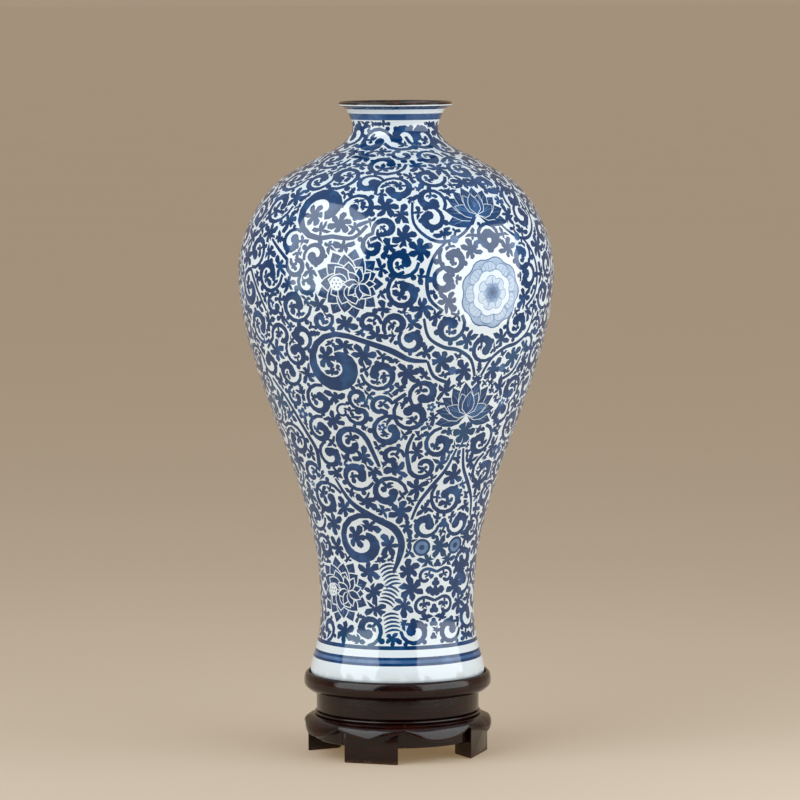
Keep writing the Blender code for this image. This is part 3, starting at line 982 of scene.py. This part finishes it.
kept = np.abs(middles[:, 0]) < TILE / 2
kept &= (middles[:, 1] > 0.0) & (middles[:, 1] < wall_rise[-1])
tone_of = np.array([tones[max(shapes)] if shapes else WHITE for shapes in over])
triangles, tone_of = triangles[kept], tone_of[kept]

# The wall is rolled up, once for each repeat, and joined to the turned lip, hollow and foot.
wall_slope = np.stack([np.gradient(wall[:, 0], wall_rise), np.gradient(wall[:, 1], wall_rise)], axis=1)
coordinates, facings, faces, face_tones, face_glaze = [], [], [], [], []
CLEAR, BROWN, BARE = 0, 1, 2


def roll_up(azimuths, heights, radii, slopes):
    """Adds the points of a stretch of wall and the way that each faces, and gives the first one's number."""
    first = sum(len(c) for c in coordinates)
    around = np.stack([np.sin(azimuths), -np.cos(azimuths)], axis=1)
    coordinates.append(np.column_stack([around * radii[:, None], heights + vase_low.z]))
    facing = np.column_stack([around * slopes[:, :1], -slopes[:, 1]])
    facings.append(facing / np.hypot(np.hypot(facing[:, 0], facing[:, 1]), facing[:, 2])[:, None])
    return first


used = np.unique(triangles)
renumber = np.full(len(flat), -1)
renumber[used] = np.arange(len(used))
flat = flat[used]
slopes = np.stack([np.interp(flat[:, 1], wall_rise, wall_slope[:, k]) for k in (0, 1)], axis=1)
for repeat in range(REPEATS):
    heights = np.interp(flat[:, 1], wall_rise, wall[:, 0])
    first = roll_up(flat[:, 0] + repeat * TILE, heights, radius_at(flat[:, 1]), slopes)
    faces.append(renumber[triangles] + first)
    face_tones.append(tone_of)
    face_glaze.append(np.full(len(triangles), CLEAR))

lip = [
    (VASE_HEIGHT - LIP_ROUND + LIP_ROUND * math.sin(a), LIP_RADIUS - LIP_ROUND + LIP_ROUND * math.cos(a))
    for a in np.radians(np.linspace(-22.5, 180.0, 19))
]
hollow = smooth_through(VASE_HOLLOW, HOLLOW_STEPS)[::-1]
FOOT_RING_INNER = 0.0455
foot = [
    (0.0030, 0.0),
    (0.0030, 0.0447),
    (0.0004, FOOT_RING_INNER),
    (0.0, 0.0459),
    (0.0, 0.0496),
    (0.0003, 0.0503),
    (0.0016, 0.0515),
]
# Where the brown glaze begins outside and inside the lip, the cobalt line below it, and the ground foot ring.
BROWN_ABOVE, BROWN_INSIDE = 0.3387, 0.3345
LIP_LINE_LOW, LIP_LINE_HIGH = 0.3366, 0.3378
BARE_BELOW = 0.0012
SIDES = GRID_COLUMNS * REPEATS
for line in (np.vstack([wall[-1], lip, hollow]), np.vstack([foot, wall[0]])):
    slope = np.gradient(line, axis=0)
    azimuths = TILE_START + np.arange(SIDES) * math.tau / SIDES
    first = None
    for ring, (height, radius) in enumerate(line):
        slopes = np.tile(slope[ring], (SIDES, 1))
        made = roll_up(azimuths, np.full(SIDES, height), np.full(SIDES, radius), slopes)
        first = made if first is None else first
        if ring == 0:
            continue
        here = np.arange(SIDES)
        following = (here + 1) % SIDES
        below, above = made - SIDES, made
        quads = np.vstack(
            [
                np.column_stack([below + here, below + following, above + following]),
                np.column_stack([below + here, above + following, above + here]),
            ]
        )
        faces.append(quads)
        middle = (line[ring - 1][0] + height) / 2
        outside = line[ring - 1][1] < radius
        lined = outside and LIP_LINE_LOW < middle < LIP_LINE_HIGH
        face_tones.append(np.full(len(quads), COBALT if lined else WHITE))
        glaze = CLEAR
        if middle > (BROWN_ABOVE if outside else BROWN_INSIDE):
            glaze = BROWN
        elif middle < BARE_BELOW and radius > FOOT_RING_INNER:
            glaze = BARE
        face_glaze.append(np.full(len(quads), glaze))

coordinates = np.vstack(coordinates)
facings = np.vstack(facings)
faces = np.vstack(faces)
face_tones = np.concatenate(face_tones)
face_glaze = np.concatenate(face_glaze)
shape = bmesh.new()
facing_layer = shape.verts.layers.float_vector.new("facing")
tone_layer = shape.faces.layers.float.new("tone")
verts = [shape.verts.new(c) for c in coordinates]
for vert, facing in zip(verts, facings):
    vert[facing_layer] = facing
for (a, b, c), tone, glaze in zip(faces, face_tones, face_glaze):
    face = shape.faces.new((verts[a], verts[b], verts[c]))
    face[tone_layer] = tone
    face.material_index = int(glaze)
    face.smooth = True
bmesh.ops.remove_doubles(shape, verts=shape.verts, dist=0.000004)
bmesh.ops.dissolve_degenerate(shape, edges=shape.edges, dist=0.0000005)
porcelain_mesh = to_mesh(shape, "porcelain")


def porcelain_sockets(sheet):
    """Cobalt of every strength under a clear glaze: it pools darker and thins out as the brush went."""
    where = sheet.node("TexCoord", output="Object")
    tone = sheet.node("Attribute", {"attribute_name": "tone"}, output="Fac")
    pool = sheet.noise(where, 95.0, 4.0, 0.6)
    wash = sheet.noise(where, 26.0, 2.0)
    grain = sheet.noise(where, 700.0, 3.0)
    strength = tone * (0.80 + 0.26 * sheet.band(pool, 0.30, 0.62) + 0.06 * grain)
    stops = [
        (0.00, (0.66, 0.72, 0.76)),
        (0.20, (0.42, 0.51, 0.62)),
        (0.45, (0.15, 0.245, 0.42)),
        (0.78, (0.014, 0.076, 0.215)),
        (1.00, (0.0012, 0.030, 0.110)),
    ]
    painted = sheet.node("ValToRGB", {"stops": stops}, {0: strength})
    greener = sheet.band(wash, 0.56, 0.70) * sheet.band(tone, 0.6, 0.9)
    painted = sheet.blend(greener * 0.45, painted, (0.012, 0.085, 0.170))
    sink = sheet.noise(where, 60.0, 1.0)
    return {
        "Base Color": painted,
        "Roughness": 0.045 + 0.05 * wash,
        "Specular IOR Level": 0.65,
        "Normal": sheet.relief(sink + grain * 0.03, 0.00025),
    }


def brown_sockets(sheet):
    """Iron-brown glaze, thin and reddish where it runs off the edge."""
    where = sheet.node("TexCoord", output="Object")
    run = sheet.noise(where, 240.0, 3.0)
    colour = sheet.blend(sheet.band(run, 0.4, 0.7), (0.012, 0.0050, 0.0025), (0.060, 0.022, 0.008))
    return {"Base Color": colour, "Roughness": 0.14 + 0.1 * run, "Normal": sheet.relief(run, 0.0001)}


def biscuit_sockets(sheet):
    """Bare fired clay on the foot ring, ground flat, with dark specks and a little kiln sand."""
    where = sheet.node("TexCoord", output="Object")
    sand = sheet.noise(where, 1500.0, 4.0, 0.7)
    colour = sheet.blend(sheet.band(sand, 0.45, 0.68), (0.66, 0.60, 0.50), (0.40, 0.30, 0.20))
    return {"Base Color": colour, "Roughness": 0.75 + 0.2 * sand, "Normal": sheet.relief(sand, 0.0002)}


vase = new_piece(
    "painted_vase",
    porcelain_mesh,
    finish("painted_porcelain", porcelain_sockets),
    finish("brown_lip_glaze", brown_sockets),
    finish("bare_biscuit", biscuit_sockets),
)
corner_facings = np.empty(len(porcelain_mesh.vertices) * 3)
porcelain_mesh.attributes["facing"].data.foreach_get("vector", corner_facings)
porcelain_mesh.normals_split_custom_set_from_vertices(corner_facings.reshape(-1, 3))
porcelain_mesh.attributes.remove(porcelain_mesh.attributes["facing"])
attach(vase, "vase")
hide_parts("vase_body")

# ------------------------------------------------------------------ studio
# A plain pale floor that glows a little, a room that is dim in front, warm behind and pale above, and a soft
# light at each side of the front.
FLOOR_GLOW = (0.197, 0.128, 0.062)


def floor_sockets(sheet):
    where = sheet.node("TexCoord", output="Object")
    return {
        "Base Color": sheet.blend(sheet.noise(where, 3.0), (0.40, 0.36, 0.31), (0.38, 0.34, 0.29)),
        "Roughness": 0.8,
        "Specular IOR Level": 0.1,
        "Emission Color": (*FLOOR_GLOW, 1.0),
        "Emission Strength": 1.0,
    }


FLOOR_REACH = 300.0
floor_shape = bmesh.new()
bmesh.ops.create_circle(floor_shape, cap_ends=True, segments=64, radius=FLOOR_REACH)
floor = new_piece("floor", to_mesh(floor_shape, "floor"), finish("pale_floor", floor_sockets))
floor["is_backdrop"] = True

room = bpy.data.worlds.new("room")
room.use_nodes = True
bpy.context.scene.world = room
air = Shade(room.node_tree)
direction = air.node("TexCoord", output="Generated")
behind = air.node("SeparateXYZ", sockets={0: direction}, output="Y")
above = air.node("SeparateXYZ", sockets={0: direction}, output="Z")
walls = air.blend(air.band(behind, -0.30, 0.35), (0.055, 0.050, 0.048), (0.375, 0.295, 0.210))
walls = air.blend(air.band(above, 0.30, 0.80), walls, (0.48, 0.52, 0.56))
air.feed(room.node_tree.nodes["Background"].inputs["Color"], walls)


SOFTBOX_COLOUR = (0.93, 0.98, 1.0)
AIM_HEIGHT = 0.24


def softbox(name, azimuth, elevation, distance, width, height, radiance):
    """A soft rectangular light that faces the middle of the vase."""
    light = bpy.data.lights.new(name, "AREA")
    light.shape = "RECTANGLE"
    light.size = width
    light.size_y = height
    light.color = SOFTBOX_COLOUR
    light.energy = radiance * math.pi * width * height
    lamp = bpy.data.objects.new(name, light)
    bpy.context.scene.collection.objects.link(lamp)
    aim = Matrix.Translation((0.0, 0.0, AIM_HEIGHT)) @ Matrix.Rotation(math.radians(azimuth), 4, "Z")
    aim @= Matrix.Rotation(math.radians(90.0 - elevation), 4, "X")
    lamp.matrix_world = aim @ Matrix.Translation((0.0, 0.0, distance))
    lamp.visible_camera = False


softbox("left_softbox", -55.0, 25.0, 1.2, 1.3, 1.5, 2.9)
softbox("right_softbox", 62.0, 11.0, 0.62, 0.85, 0.66, 2.7)

CAMERA_PLACE = (0.0, -2.65, 0.4465)
CAMERA_TURN, CAMERA_DIP, CAMERA_TILT = -0.045, 5.105, -0.22  # degrees
FOCAL_LENGTH, SENSOR_WIDTH = 202.1, 36.0
camera = bpy.data.objects.new("camera", bpy.data.cameras.new("camera"))
bpy.context.scene.collection.objects.link(camera)
camera.data.sensor_width = SENSOR_WIDTH
camera.data.lens = FOCAL_LENGTH
look = Matrix.Rotation(math.radians(CAMERA_TURN), 4, "Z")
look @= Matrix.Rotation(math.radians(90.0 - CAMERA_DIP), 4, "X")
look @= Matrix.Rotation(math.radians(CAMERA_TILT), 4, "Z")
camera.matrix_world = Matrix.Translation(CAMERA_PLACE) @ look
bpy.context.scene.camera = camera
bpy.context.scene.view_settings.view_transform = "Standard"

low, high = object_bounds()
